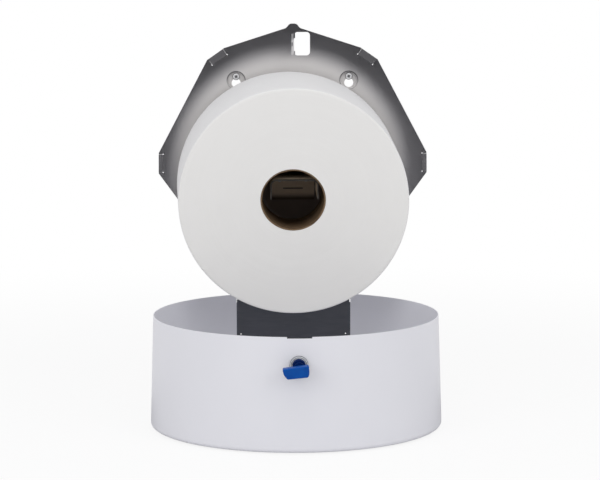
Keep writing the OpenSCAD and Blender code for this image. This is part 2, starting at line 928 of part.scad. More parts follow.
module cam_screw() {
    color("silver")
        at_lock() {
            translate([0, 0, cam_washer_low])
                cylinder(h = tang_low + cam_screw_in - 0.5 - cam_washer_low, r = cam_screw_r);
            translate([0, 0, cam_washer_low - cam_screw_head_h])
                difference() {
                    cylinder(
                        h = cam_screw_head_h, r1 = cam_screw_head_r - head_taper, r2 = cam_screw_head_r);
                    translate([0, 0, -cut])
                        cross_recess(cam_screw_head_r, cam_screw_head_h / 2 + cut);
                }
        }
}

// Flag-shaped bow, seen along the lock's axis from outside
module bow_shape() {
    rotate(bow_tilt)
        translate([-bow_w / 2, -bow_h / 2])
            polygon([
                [bow_w * 0.2, 0], [bow_w * 0.9, 0], [bow_w, bow_h * 0.4], [bow_w, bow_h],
                [0, bow_h], [bow_w * 0.02, bow_h * 0.45]
            ]);
}

module key() {
    color("royalblue")
        at_lock() {
            square_drive(drive_w, plug_head_high - shank_len, collar_low - plug_head_high + shank_len + cut);
            translate([0, 0, collar_low])
                cylinder(h = collar_len, r = recess_r - collar_clear);
            translate([0, 0, neck_low])
                cylinder(h = neck_len + cut, r = neck_r);
            translate([bow_x, bow_y, bow_low])
                linear_extrude(bow_len)
                    bow_shape();
        }
}

module tube_along_wall_axis(y_from, length, r_out, r_in) {
    translate([0, 0, roll_z])
        along_wall_axis(y_from)
            difference() {
                cylinder(h = length, r = r_out);
                translate([0, 0, -cut])
                    cylinder(h = length + 2 * cut, r = r_in);
            }
}

module cardboard_core() {
    color("peru")
        tube_along_wall_axis(roll_back + core_out, roll_w + 2 * core_out, core_out_r, core_r);
}

module paper_roll() {
    color("ivory")
        tube_along_wall_axis(roll_back, roll_w, roll_r, core_out_r + wound_gap);
}

back_plate();
wall_screws();
spindle();
spindle_rivets();
hinge_leaf();
leaf_rivets();
hinge_pin();
cover_shell();
exit_strap();
strap_rivets();
lock_housing();
lock_washer();
lock_nut();
lock_plug();
lock_cam();
cam_washer();
cam_screw();
key();
cardboard_core();
paper_roll();
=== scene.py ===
# %% [markdown]
# # A jumbo toilet roll dispenser, opened for refilling
# The steel back plate, its spindle, the hinge, the drum-shaped cover and the lock come from a CAD model.
# That model is loaded first and never changed, because every joint turns about an axis it holds.
# This script dresses its pieces in materials and builds anew the ones that need softness or fine detail:
# the paper roll, its cardboard core, the spindle, the screws, the rivets, the lock's ring and the key.

# %% Load the frame
import math
import random

import bmesh
import bpy
from mathutils import Euler, Matrix, Vector, noise


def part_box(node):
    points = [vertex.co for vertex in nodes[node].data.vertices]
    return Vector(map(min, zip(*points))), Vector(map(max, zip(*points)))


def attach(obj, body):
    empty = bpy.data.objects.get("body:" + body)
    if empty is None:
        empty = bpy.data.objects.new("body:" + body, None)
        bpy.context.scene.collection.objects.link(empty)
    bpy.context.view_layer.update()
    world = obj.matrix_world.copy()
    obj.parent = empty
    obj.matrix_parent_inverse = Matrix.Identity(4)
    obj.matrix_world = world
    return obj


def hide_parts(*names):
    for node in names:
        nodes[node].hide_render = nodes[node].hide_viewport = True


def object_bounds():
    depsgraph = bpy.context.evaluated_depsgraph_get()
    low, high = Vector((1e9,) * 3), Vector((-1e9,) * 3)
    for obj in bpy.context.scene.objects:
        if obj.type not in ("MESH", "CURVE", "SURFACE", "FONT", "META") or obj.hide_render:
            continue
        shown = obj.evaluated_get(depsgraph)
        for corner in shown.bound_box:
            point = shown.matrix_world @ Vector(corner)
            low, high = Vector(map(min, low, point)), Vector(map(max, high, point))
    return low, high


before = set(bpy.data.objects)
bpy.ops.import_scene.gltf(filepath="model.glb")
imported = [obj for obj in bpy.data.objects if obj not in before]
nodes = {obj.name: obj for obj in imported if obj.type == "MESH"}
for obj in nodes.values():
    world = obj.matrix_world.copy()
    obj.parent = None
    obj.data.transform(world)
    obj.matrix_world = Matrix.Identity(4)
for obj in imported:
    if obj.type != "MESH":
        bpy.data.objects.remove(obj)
cad_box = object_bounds()
MM = 0.001
UPRIGHT = Matrix.Rotation(math.pi / 2, 4, "X")
random.seed(7)
print("CAD nodes:", len(nodes), "box in mm:", [round(x / MM, 1) for x in (*cad_box[0], *cad_box[1])])

# %% [markdown]
# ## The camera
# The picture was taken from almost 3 m away with a long lens, a little above the dispenser and a little to
# its left. Such a long lens keeps the drum's rim a flat ellipse. The place and the angles were found by
# fitting the drum's rim and base, the plate's corners and the roll to the picture, so they are plain
# measures here.

# %% Camera
SENSOR_MM = 36
CAMERA_PLACE = Vector((-0.0511, -2.8069, 0.2746))
CAMERA_TURN = math.radians(1.208)
CAMERA_DIP = math.radians(7.365)
CAMERA_ROLL = math.radians(-0.168)
LENS_MM = 147.8

camera_data = bpy.data.cameras.new("camera")
camera_data.lens = LENS_MM
camera_data.sensor_width = SENSOR_MM
camera_data.clip_end = 50
camera = bpy.data.objects.new("camera", camera_data)
bpy.context.scene.collection.objects.link(camera)
camera.matrix_world = (
    Matrix.Translation(CAMERA_PLACE)
    @ Euler((math.pi / 2 - CAMERA_DIP, 0, -CAMERA_TURN)).to_matrix().to_4x4()
    @ Matrix.Rotation(CAMERA_ROLL, 4, "Z")
)
bpy.context.scene.camera = camera
bpy.context.scene.view_settings.view_transform = "Standard"
print("camera", round(CAMERA_PLACE.length, 2), "m away, lens", LENS_MM, "mm")

# %% [markdown]
# ## Shader maths that reads like maths
# A material is a net of nodes. Adding each by hand hides the idea, so one small class wraps a node's output.
# Arithmetic on it adds Math nodes, also with the number first, as in 1 - mask.
# A second class holds the node tree and adds any other node from its type, its settings and its inputs.

# %% Wire and Paint
class Wire:
    """One output of a shader node. Arithmetic on it adds Math nodes."""

    def __init__(self, paint, socket):
        self.paint = paint
        self.socket = socket

    def maths(self, operation, *terms):
        return self.paint.node("ShaderNodeMath", {"operation": operation}, terms)

    def __add__(self, other):
        return self.maths("ADD", self, other)

    def __sub__(self, other):
        return self.maths("SUBTRACT", self, other)

    def __rsub__(self, other):
        return self.maths("SUBTRACT", other, self)

    def __mul__(self, other):
        return self.maths("MULTIPLY", self, other)

    __radd__ = __add__
    __rmul__ = __mul__

    def sine(self):
        return self.maths("SINE", self)

    def over(self, edge, width):
        """0 below edge - width, 1 above edge + width and a soft step between."""
        return self.paint.node(
            "ShaderNodeMapRange", {"interpolation_type": "SMOOTHSTEP"},
            (self, edge - width, edge + width, 0.0, 1.0))


class Paint:
    """A node tree in the making, of a material or of the world."""

    def __init__(self, owner):
        owner.use_nodes = True
        self.owner = owner
        self.tree = owner.node_tree
        self.tree.nodes.clear()

    def node(self, kind, settings=(), inputs=(), out=0):
        made = self.tree.nodes.new(kind)
        for key, value in dict(settings).items():
            setattr(made, key, value)
        for key, value in dict(inputs if isinstance(inputs, dict) else enumerate(inputs)).items():
            if isinstance(value, Wire):
                self.tree.links.new(value.socket, made.inputs[key])
            else:
                made.inputs[key].default_value = value
        return Wire(self, made.outputs[out]) if made.outputs else None

    def place(self):
        return self.node("ShaderNodeTexCoord", out="Object")

    def mapped(self, scale, location=(0, 0, 0)):
        inputs = {"Vector": self.place(), "Location": location, "Scale": scale}
        return self.node("ShaderNodeMapping", (), inputs)

    def length(self, vector):
        return self.node("ShaderNodeVectorMath", {"operation": "LENGTH"}, [vector], "Value")

    def axis(self, vector, name):
        return self.node("ShaderNodeSeparateXYZ", (), [vector], name)

    def distance(self, right, up):
        return self.length(self.node("ShaderNodeCombineXYZ", (), (right, up, 0.0)))

    def from_four(self, place, rise):
        """Distance in x and z from the nearest of four places, mirrored about the middle and about a rise."""
        across, up = self.axis(self.place(), "X"), self.axis(self.place(), "Z") - rise
        return self.distance(
            across.maths("ABSOLUTE", across) - place.x, up.maths("ABSOLUTE", up) - place.y)

    def ring_line(self, radius, middle, half):
        """1 on a thin line at a radius, 0 away from it."""
        off = radius - middle
        return 1 - off.maths("ABSOLUTE", off).over(half, half / 2)

    def noise(self, vector, scale, detail, roughness=0.55):
        inputs = {"Vector": vector, "Scale": scale, "Detail": detail, "Roughness": roughness}
        return self.node("ShaderNodeTexNoise", (), inputs)

    def blend(self, factor, first, second):
        inputs = {0: factor, 6: first, 7: second}
        return self.node("ShaderNodeMix", {"data_type": "RGBA"}, inputs, 2)

    def bump(self, height, distance, strength):
        inputs = {"Height": height, "Distance": distance, "Strength": strength}
        return self.node("ShaderNodeBump", (), inputs)

    def surface(self, **inputs):
        named = {key.replace("_", " "): value for key, value in inputs.items()}
        shader = self.node("ShaderNodeBsdfPrincipled", (), named)
        self.node("ShaderNodeOutputMaterial", (), {"Surface": shader})
        return self.owner


def paint(name):
    return Paint(bpy.data.materials.new(name))


def rgb(red, green, blue):
    return (red, green, blue, 1)


def toned(tint, factor):
    return rgb(*[channel * factor for channel in tint])


# %% [markdown]
# ## Studio: white ground, soft light
# A product picture like this one is cut out on white. A white world would wash out the metal and the
# shadows, so the world has two levels: pure white where the camera or a reflection looks at it, and a plain
# grey as a light. The floor mixes a white glow for those rays into a pale matt surface and so keeps the
# drum's soft shadow. Away from the drum the glow grows to pure white, so no horizon shows.

# %% World and floor
AMBIENT = 0.62
FLOOR_GLOW = 0.86
SHADOW_REACH = 0.8
FLOOR_GAP = 0.2 * MM
FLOOR_HALF = 6.0


def looks(tree):
    """1 for a ray from the camera or a reflection, 0 for one that brings light to a matt surface."""
    seen = tree.node("ShaderNodeLightPath", out="Is Camera Ray")
    mirrored = tree.node("ShaderNodeLightPath", out="Is Glossy Ray")
    through = tree.node("ShaderNodeLightPath", out="Is Transmission Ray")
    return seen.maths("MAXIMUM", seen, seen.maths("MAXIMUM", mirrored, through))


world = bpy.data.worlds.new("studio")
bpy.context.scene.world = world
sky = Paint(world)
level = AMBIENT + (1 - AMBIENT) * looks(sky)
backdrop = sky.node("ShaderNodeBackground", (), {"Color": rgb(1, 1, 1), "Strength": level})
sky.node("ShaderNodeOutputWorld", (), {"Surface": backdrop})

ground = paint("pale_floor")
matt = ground.node("ShaderNodeBsdfDiffuse", (), {"Color": rgb(0.86, 0.86, 0.87)})
glow = ground.node("ShaderNodeEmission", (), {"Color": rgb(1, 1, 1), "Strength": 1.0})
away = ground.length(ground.place()).over(SHADOW_REACH, SHADOW_REACH / 2)
mixed = ground.node(
    "ShaderNodeMixShader", (), {0: (FLOOR_GLOW + (1 - FLOOR_GLOW) * away) * looks(ground), 1: matt, 2: glow})
ground.node("ShaderNodeOutputMaterial", (), {"Surface": mixed})


def stage_sheet(name, material, half_x, half_y, matrix):
    """A flat sheet of the studio, centred on the origin and then put in place in its mesh."""
    sheet = bmesh.new()
    bmesh.ops.create_grid(sheet, x_segments=1, y_segments=1, size=1)
    bmesh.ops.transform(sheet, matrix=matrix @ Matrix.Diagonal((half_x, half_y, 1, 1)), verts=sheet.verts)
    mesh = bpy.data.meshes.new(name)
    sheet.to_mesh(mesh)
    sheet.free()
    mesh.materials.append(material)
    piece = bpy.data.objects.new(name, mesh)
    bpy.context.scene.collection.objects.link(piece)
    return piece


floor_z = cad_box[0].z - FLOOR_GAP
stage_sheet("floor", ground.owner, FLOOR_HALF, FLOOR_HALF, Matrix.Translation((0, 0, floor_z)))
print("floor at", round(floor_z / MM, 1), "mm")

# %% [markdown]
# ## Lamps and the dark side of the room
# Three large soft lamps light the white coat evenly: one above, and one on each side of the camera.
# Bare metal shows the room instead of the lamps. Behind the camera a studio is dark, which is why the
# picture's steel is grey, so a dark card stands there and a dark apron lies before it on the floor. Only
# reflections can see them.

# %% Lamps and card
TARGET = Vector((0, -0.1, -0.05))


def soft_lamp(name, place, width, height, power):
    data = bpy.data.lights.new(name, "AREA")
    data.shape = "RECTANGLE"
    data.size, data.size_y = width, height
    data.energy = power
    lamp = bpy.data.objects.new(name, data)
    lamp.location = place
    lamp.rotation_euler = (TARGET - Vector(place)).to_track_quat("-Z", "Y").to_euler()
    bpy.context.scene.collection.objects.link(lamp)
    lamp.visible_glossy = False


soft_lamp("lamp_above", (0.1, -0.7, 1.7), 1.8, 1.4, 7.6)
soft_lamp("lamp_left", (-1.55, -1.8, 0.7), 1.2, 1.6, 10.7)
soft_lamp("lamp_right", (1.6, -1.75, 0.8), 1.2, 1.6, 9.5)

card_paint = paint("dark_card")
card_paint.surface(Base_Color=rgb(0.04, 0.04, 0.045), Roughness=0.9, Specular_IOR_Level=0.0)
CARD_DISTANCE = 1.25
CARD_HALF_WIDTH = 2.2
CARD_HALF_HEIGHT = 1.3


def reflected_only(sheet):
    sheet.visible_camera = False
    sheet.visible_diffuse = False
    sheet.visible_shadow = False
    sheet.visible_transmission = False


reflected_only(stage_sheet(
    "dark_card", card_paint.owner, CARD_HALF_WIDTH, CARD_HALF_HEIGHT,
    Matrix.Translation((0, -CARD_DISTANCE, floor_z + CARD_HALF_HEIGHT)) @ UPRIGHT))
reflected_only(stage_sheet(
    "dark_apron", card_paint.owner, CARD_HALF_WIDTH, CARD_DISTANCE / 2,
    Matrix.Translation((0, -CARD_DISTANCE / 2, floor_z + FLOOR_GAP / 2))))

# %% [markdown]
# ## Steel sheet
# The plate and its spindle are cold-rolled stainless sheet. Rolling leaves faint streaks along one
# direction and cloudy patches where oil and handling dulled it. Metal has no colour of its own under the
# reflection, so streaks and clouds go mostly into roughness, a little into the tint, and a hair into the
# bump. Three places of painted light and shade need a mask by distance. A pale matt film round the roll,
# with a soft end, is a painted reflection of the roll. Behind the core the matt sheet gets a brown painted
# shade. Painted shade also darkens the crease round each pressed dimple, where one distance, folded over
# with absolutes, serves all four dimples. The film and the brown are kept to the faces that look forwards.
# The corner tabs lean a little, so they would mirror a darker part of the room; that darker reflection is
# painted into their colour, and a mask by the surface's direction finds them. The spindle is of the same
# sheet, brown and matt behind its bare front edge as a painted reflection of the brown core, with a dark
# brown painted shade at its lower end.

# %% Steel
PAD_PLACE = Vector((64.1 * MM, 92.6 * MM))
PAD_RISE = 2.85 * MM
PAD_CREASE = 10.3 * MM
CREASE_HALF = 0.55 * MM
ROLL_HEIGHT = -28.5 * MM
CORE_SHADE = 38 * MM
ROLL_REFLECTION_MIDDLE = Vector((-4.4 * MM, -1.8 * MM))
ROLL_REFLECTION_RADIUS = 128 * MM
ROLL_REFLECTION_FADE = 13.3 * MM
TAB_FOLD = 142 * MM
TAB_FACING = -0.975


def rolled_steel(p, tint, rough):
    """Colour, roughness and bump of rolled sheet."""
    streaks = p.noise(p.mapped(scale=(60, 60, 900)), 1.0, 4.0, 0.6)
    clouds = p.noise(p.place(), 14.0, 2.0)
    specks = p.noise(p.place(), 1400.0, 1.0)
    colour = p.blend(clouds * 0.6 + streaks * 0.4, toned(tint, 0.86), toned(tint, 1.1))
    roughness = rough - 0.05 + streaks * 0.06 + clouds * 0.05
    return colour, roughness, p.bump(streaks * 0.7 + specks * 0.3, 0.00004, 0.35)


def steel_sheet(name, tint, rough):
    p = paint(name)
    colour, roughness, normal = rolled_steel(p, tint, rough)
    return p.surface(Base_Color=colour, Metallic=1.0, Roughness=roughness, Normal=normal)


def steel_with_painted_core_light(name, tint, rough, dark_below, bare_front):
    """Sheet made matt and left brown behind its bare metal front edge, a painted reflection of the core, with
    a dark brown painted shade below a height.
    """
    p = paint(name)
    colour, roughness, normal = rolled_steel(p, tint, rough)
    above_painted_shade = p.axis(p.place(), "Z").over(dark_below, 4 * MM)
    painted_reflection_film = p.axis(p.place(), "Y").over(bare_front, 2 * MM)
    # Painted shade: dark brown below a height, deep in the core.
    colour = p.blend(above_painted_shade, rgb(0.07, 0.040, 0.022), colour)
    # Painted reflection of the brown core: matt tinted sheet behind the front edge, bare dark metal at the
    # front.
    colour = p.blend(painted_reflection_film, rgb(0.30, 0.28, 0.25), colour)
    return p.surface(Base_Color=colour, Metallic=1 - 0.8 * painted_reflection_film, Roughness=roughness, Normal=normal)


def plate_with_painted_light(name, tint, rough):
    """Sheet with a pale painted reflection round the roll, a brown painted shade in the middle, painted shade
    in the crease round the dimples and a painted darker reflection on the corner tabs.
    """
    p = paint(name)
    colour, roughness, normal = rolled_steel(p, tint, rough)
    across, height = p.axis(p.place(), "X"), p.axis(p.place(), "Z")
    crease_painted_shade = p.ring_line(p.from_four(PAD_PLACE, PAD_RISE), PAD_CREASE, CREASE_HALF)
    above = height.over(PAD_PLACE.y + PAD_RISE, 6 * MM)
    facing = p.axis(p.node("ShaderNodeTexCoord", out="Normal"), "Y")
    front = 1 - facing.over(0.0, 0.2)
    tab_painted_reflection = facing.over(TAB_FACING, 0.01) * front * p.distance(across, height).over(TAB_FOLD, 2 * MM)
    painted_reflection_film = 1 - p.distance(across - ROLL_REFLECTION_MIDDLE.x, height - ROLL_REFLECTION_MIDDLE.y).over(ROLL_REFLECTION_RADIUS, ROLL_REFLECTION_FADE)
    core_painted_shade = 1 - p.distance(across, height - ROLL_HEIGHT).over(CORE_SHADE, 5 * MM)
    painted_reflection_film, core_painted_shade = painted_reflection_film * front, core_painted_shade * front
    # Painted reflection: the leaning corner tabs are darkened as if mirroring a darker part of the room.
    colour = p.blend(tab_painted_reflection * 0.6, colour, rgb(0.04, 0.04, 0.045))
    # Painted reflection of the roll: a pale matt film round it, with a soft end.
    colour = p.blend(painted_reflection_film, colour, rgb(0.66, 0.64, 0.635))
    # Painted shade in the crease round each dimple, strongest on the upper arcs of the upper dimples, where
    # shade falls under light from above.
    colour = p.blend(crease_painted_shade * (0.3 + 0.62 * above), colour, rgb(0.07, 0.07, 0.08))
    # Painted shade behind the core, in dark brown.
    colour = p.blend(core_painted_shade * 0.9, colour, rgb(0.07, 0.036, 0.016))
    return p.surface(Base_Color=colour, Metallic=1 - 0.9 * painted_reflection_film, Roughness=roughness, Normal=normal)


satin_steel = plate_with_painted_light("satin_steel", (0.60, 0.59, 0.61), 0.46)
dull_steel = steel_sheet("dull_steel", (0.34, 0.30, 0.24), 0.44)
spindle_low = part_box("spindle")[0]
spindle_painted_light_steel = steel_with_painted_core_light(
    "spindle_painted_light_steel", (0.56, 0.46, 0.35), 0.44, spindle_low.z + 5 * MM, spindle_low.y + 5 * MM)
print("made", satin_steel.name, dull_steel.name, spindle_painted_light_steel.name)

# %% [markdown]
# ## Dark coated strap
# The flat strap under the drum guides the paper and carries the tear teeth. It is far darker than the bare
# plate in the same light, so it is taken as coated: a thin dark-grey coat, rubbed unevenly by the paper.

# %% Dark coat
def dark_coat(name):
    p = paint(name)
    grain = p.noise(p.place(), 1800.0, 2.0)
    rubbed = p.noise(p.mapped(scale=(40, 40, 260)), 1.0, 4.0, 0.65)
    colour = p.blend(rubbed, rgb(0.058, 0.062, 0.075), rgb(0.096, 0.100, 0.117))
    return p.surface(
        Base_Color=colour, Roughness=0.42 + rubbed * 0.16, Normal=p.bump(grain, 0.00005, 0.5))


strap_coat = dark_coat("strap_coat")
print("made", strap_coat.name)

# %% [markdown]
# ## White powder coat
# The drum is sprayed with dry powder that melts in an oven. It flows into a skin with a fine orange peel:
# soft dimples about a millimetre wide. The white leans to blue. Hands leave slightly duller patches,
# which show in the roughness only.

# %% Powder coat
def powder_coat(name):
    p = paint(name)
    peel = p.noise(p.place(), 620.0, 2.0, 0.5)
    mottle = p.noise(p.place(), 9.0, 3.0)
    handled = p.noise(p.mapped(scale=(30, 30, 30)), 1.0, 4.0, 0.65)
    colour = p.blend(mottle, rgb(0.760, 0.760, 0.808), rgb(0.795, 0.795, 0.840))
    return p.surface(
        Base_Color=colour, Roughness=0.40 + handled * 0.14, Normal=p.bump(peel, 0.00005, 0.5))


white_coat = powder_coat("white_coat")
print("made", white_coat.name)

# %% [markdown]
# ## Zinc, chrome and blue plastic
# Screws, rivets, washers and the cam are zinc plated: brighter and greyer than the sheet, and spotty. Painted
# shade darkens the screws' cross recess and a painted shadow rings their rim. The plating is matt, and the
# lock's ring wears a satin chrome with a painted dark reflection line at each turned edge, so both look light
# although the room is dark. The key is moulded plastic, smooth with a soft sheen and fine sink marks. Its
# collar is painted navy as shade where the ring shades it, and the bow keeps the plain blue.

# %% Small metal and plastic
PLATED_FINE = 900.0
PLATED_COARSE = 420.0
SCREW_PLACE = Vector((64.1 * MM, 92.6 * MM))
SCREW_RISE = 7.3 * MM
CROSS_PAINTED_SHADE = 1.5 * MM
RIM_PAINTED_SHADOW = 4.0 * MM
RIM_PAINTED_SHADOW_HALF = 0.5 * MM
PAINTED_LINE_RADII = (8.1 * MM, 9.4 * MM)
PAINTED_LINE_HALF = 0.35 * MM
KEY_COLLAR = 10.5 * MM
PAINTED_SHADE_COLOUR = rgb(0.03, 0.03, 0.035)


def spangled(p, spots, dim, bright):
    """The spotty crystals of a plating, their colour and their bump."""
    spangle = p.noise(p.place(), spots, 3.0, 0.6)
    return spangle, p.blend(spangle, dim, bright), p.bump(spangle, 0.00003, 0.4)


def plated(name, tint):
    p = paint(name)
    spangle, colour, normal = spangled(p, PLATED_COARSE, toned(tint, 0.82), rgb(*tint))
    return p.surface(Base_Color=colour, Metallic=0.35, Roughness=0.30 + spangle * 0.12, Normal=normal)


def moulded_plastic(name, deep, bright, bow_back):
    p = paint(name)
    sinks = p.noise(p.place(), 160.0, 2.0)
    grain = p.noise(p.place(), 2600.0, 1.0)
    collar_painted_shade = p.axis(p.place(), "Y").over(bow_back, 0.2 * MM)
    colour = p.blend(sinks, rgb(*deep), rgb(*bright))
    # Painted shade: the collar behind the bow turns navy where the ring shades it.
    colour = p.blend(collar_painted_shade * 0.85, colour, rgb(0.0, 0.006, 0.06))
    return p.surface(
        Base_Color=colour, Roughness=0.34 + grain * 0.12, Specular_IOR_Level=0.2,
        Normal=p.bump(sinks * 0.8 + grain * 0.2, 0.00006, 0.5))


def chromed_ring(name, centre):
    """A light ring with a painted dark reflection line at each turned edge, for the dark room it would
    mirror.
    """
    p = paint(name)
    spangle, colour, normal = spangled(p, PLATED_FINE, rgb(0.88, 0.90, 0.93), rgb(0.95, 0.97, 1.0))
    place = p.place()
    radius = p.distance(p.axis(place, "X") - centre.x, p.axis(place, "Z") - centre.z)
    # Painted reflection: a dark line at each turned edge.
    for edge in PAINTED_LINE_RADII:
        colour = p.blend(p.ring_line(radius, edge, PAINTED_LINE_HALF) * 0.9, colour, rgb(0.06, 0.07, 0.09))
    return p.surface(Base_Color=colour, Metallic=0.05, Roughness=0.14 + spangle * 0.12, Normal=normal)


def screw_zinc(name, tint):
    """Zinc, with painted shade in the cross recess and a painted shadow ring round the rim of each wall
    screw's head.
    """
    p = paint(name)
    spangle, colour, normal = spangled(p, PLATED_COARSE, toned(tint, 0.82), rgb(*tint))
    radius = p.from_four(SCREW_PLACE, SCREW_RISE)
    # Painted shade in the cross recess.
    colour = p.blend((1 - radius.over(CROSS_PAINTED_SHADE, 0.7 * MM)) * 0.8, colour, PAINTED_SHADE_COLOUR)
    # Painted shadow ring round the head's rim.
    colour = p.blend(p.ring_line(radius, RIM_PAINTED_SHADOW, RIM_PAINTED_SHADOW_HALF) * 0.9, colour, PAINTED_SHADE_COLOUR)
    return p.surface(Base_Color=colour, Metallic=0.2, Roughness=0.30 + spangle * 0.12, Normal=normal)


zinc = plated("zinc", (0.74, 0.74, 0.76))
screw_coat = screw_zinc("screw_zinc", (0.86, 0.86, 0.88))
ring_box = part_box("lock_housing")
chrome = chromed_ring("chrome", (ring_box[0] + ring_box[1]) / 2)
bow_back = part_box("key")[0].y + KEY_COLLAR
blue_plastic = moulded_plastic("blue_plastic", (0.0, 0.048, 0.27), (0.0, 0.088, 0.40), bow_back)
print("made", zinc.name, screw_coat.name, chrome.name, blue_plastic.name)

# %% [markdown]
# ## Dressing the CAD nodes
# These solids already have their real shape, so they stay as they are and only get a material.
# The importer gave each a stand-in material, which is taken off first.

# %% Dress
DRESS = {
    satin_steel: ("back_plate",),
    dull_steel: ("hinge_leaf", "hinge_pin"),
    strap_coat: ("exit_strap",),
    white_coat: ("cover_shell",),
    zinc: ("lock_washer", "lock_nut", "lock_plug", "lock_cam", "cam_washer", "cam_screw"),
}
for material, names in DRESS.items():
    for name in names:
        nodes[name].data.materials.clear()
        nodes[name].data.materials.append(material)
print("dressed", sum(len(names) for names in DRESS.values()), "CAD nodes")

# %% [markdown]
# ## From a bmesh to a seated piece
# Every new piece ends the same way: doubles merged, normals turned outwards, smooth faces with sharp edges
# where the angle is steep, one material, and a ride on the body that carries it.
# It then stands for the CAD node whose place it takes.

# %% Finish a piece
SHARP = math.radians(32)
MERGE = 0.002 * MM


def to_mesh(shape, name):
    bmesh.ops.remove_doubles(shape, verts=shape.verts, dist=MERGE)
    bmesh.ops.recalc_face_normals(shape, faces=shape.faces)
    for face in shape.faces:
        face.smooth = True
    for edge in shape.edges:
        edge.smooth = edge.calc_face_angle(0) < SHARP
    mesh = bpy.data.meshes.new(name)
    shape.to_mesh(mesh)
    shape.free()
    return mesh


def seat(name, mesh, material, body, stands_for):
    mesh.materials.clear()
    mesh.materials.append(material)
    piece = bpy.data.objects.new(name, mesh)
    bpy.context.scene.collection.objects.link(piece)
    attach(piece, body)
    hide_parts(stands_for)
    print(name, "stands for", stands_for, "with", len(mesh.polygons), "faces")


# %% [markdown]
# ## Turning a profile
# Rivets, screws, the ring, the core and the roll are all round. A lathe makes such a form from a profile, and
# so does the spin operator: points at a radius and a height, joined into a line and swept round the axis.
# Each is made about +Z at the origin, and a matrix then aims that axis where the piece points.

# %% Lathe
def turned(shape, profile, steps, closed=False):
    """Sweeps (radius, height) points round +Z. A closed profile makes a ring."""
    points = [shape.verts.new((radius, 0, height)) for radius, height in profile]
    pairs = list(zip(points, points[1:] + points[:1] if closed else points[1:]))
    lines = [shape.edges.new(pair) for pair in pairs]
    bmesh.ops.spin(
        shape, geom=points + lines, cent=(0, 0, 0), axis=(0, 0, 1), angle=2 * math.pi, steps=steps,
        use_merge=True)
    bmesh.ops.remove_doubles(shape, verts=shape.verts, dist=MERGE)
    return shape


def arc(centre_r, centre_h, radius, start, end, count):
    """Points of a profile along an arc, angles in degrees from outwards to upwards."""
    angles = [math.radians(start + (end - start) * i / count) for i in range(count + 1)]
    return [(centre_r + radius * math.cos(a), centre_h + radius * math.sin(a)) for a in angles]


def aimed(place, direction):
    return Matrix.Translation(place) @ Vector(direction).to_track_quat("Z", "Y").to_matrix().to_4x4()


def solids_of(node):
    """The box of each separate solid in a CAD node, from a merged copy of its mesh."""
    copy = bmesh.new()
    copy.from_mesh(nodes[node].data)
    bmesh.ops.remove_doubles(copy, verts=copy.verts, dist=0.001 * MM)
    left, boxes = set(copy.verts), []
    while left:
        edge_of_island = [left.pop()]
        island = set(edge_of_island)
        while edge_of_island:
            vertex = edge_of_island.pop()
            near = {e.other_vert(vertex) for e in vertex.link_edges} - island
            island |= near
            edge_of_island += near
        left -= island
        places = [v.co.copy() for v in island]
        low = Vector([min(p[i] for p in places) for i in range(3)])
        high = Vector([max(p[i] for p in places) for i in range(3)])
        boxes.append((low, high))
    copy.free()
    return boxes


# %% [markdown]
# ## Rivets with domed heads
# A blind rivet has a low dome on the side that was reachable and a small rolled end on the other.
# Its length is read from the CAD rivet, so one lathe profile serves the spindle, the hinge and the strap.

# %% Rivets
RIVET_SHANK = 1.6 * MM
RIVET_HEAD = 3.4 * MM
RIVET_DOME = 1.4 * MM
RIVET_RIM = 0.25 * MM
RIVET_TAIL = 2.7 * MM
RIVET_TAIL_H = 1.0 * MM
TAIL_ROUND = 0.3 * MM
MANDREL = 0.6 * MM
MANDREL_DEPTH = 0.35 * MM
RIVET_STEPS = 32


def rivet_mesh(length):
    """Tail from 0 upwards, dome at the top. The dome is a flat arc with a small mandrel mark."""
    grip_top = length - RIVET_DOME
    dome = [(RIVET_HEAD * math.cos(a), grip_top + RIVET_RIM + (RIVET_DOME - RIVET_RIM) * math.sin(a))
            for a in [math.radians(x) for x in range(0, 76, 15)]]
    profile = [
        (0, 0), *arc(RIVET_TAIL - TAIL_ROUND, TAIL_ROUND, TAIL_ROUND, -90, 0, 3), (RIVET_TAIL, RIVET_TAIL_H),
        (RIVET_SHANK, RIVET_TAIL_H), (RIVET_SHANK, grip_top), (RIVET_HEAD, grip_top), *dome,
        (MANDREL + 0.15 * MM, length - 0.05 * MM), (MANDREL, length - MANDREL_DEPTH),
        (0, length - MANDREL_DEPTH)]
    return to_mesh(turned(bmesh.new(), profile, RIVET_STEPS), "rivet")


def rivet_group(name, node, body, direction):
    shape = bmesh.new()
    aim = Vector(direction)
    for low, high in solids_of(node):
        length = abs((high - low).dot(aim))
        middle = (low + high) / 2
        part = rivet_mesh(length)
        part.transform(aimed(middle - aim * length / 2, direction))
        shape.from_mesh(part)
    seat(name, to_mesh(shape, name), zinc, body, node)


TO_FRONT = (0, -1, 0)
TO_FLOOR = (0, 0, -1)
rivet_group("spindle_rivet_domes", "spindle_rivets", "wall_plate", TO_FRONT)
rivet_group("hinge_rivet_domes", "leaf_rivets", "wall_plate", TO_FRONT)
rivet_group("strap_rivet_domes", "strap_rivets", "cover", TO_FLOOR)

# %% [markdown]
# ## Folding, joining and cutting
# Three small tools serve the spindle, the screws and the key. A drawn outline is extruded into a prism, and a
# block is one between two corners. The Boolean modifier joins meshes or cuts one out of another, as a punch
# and a drill do. It works on objects, so each mesh gets a helper object for that moment only.

# %% Join and cut
def extruded(outline, move):
    """A prism: the outline's face, drawn out along a move."""
    shape = bmesh.new()
    end = shape.faces.new([shape.verts.new(point) for point in outline])
    grown = bmesh.ops.extrude_face_region(shape, geom=[end])
    far_end = [v for v in grown["geom"] if isinstance(v, bmesh.types.BMVert)]
    bmesh.ops.translate(shape, vec=move, verts=far_end)
    return shape


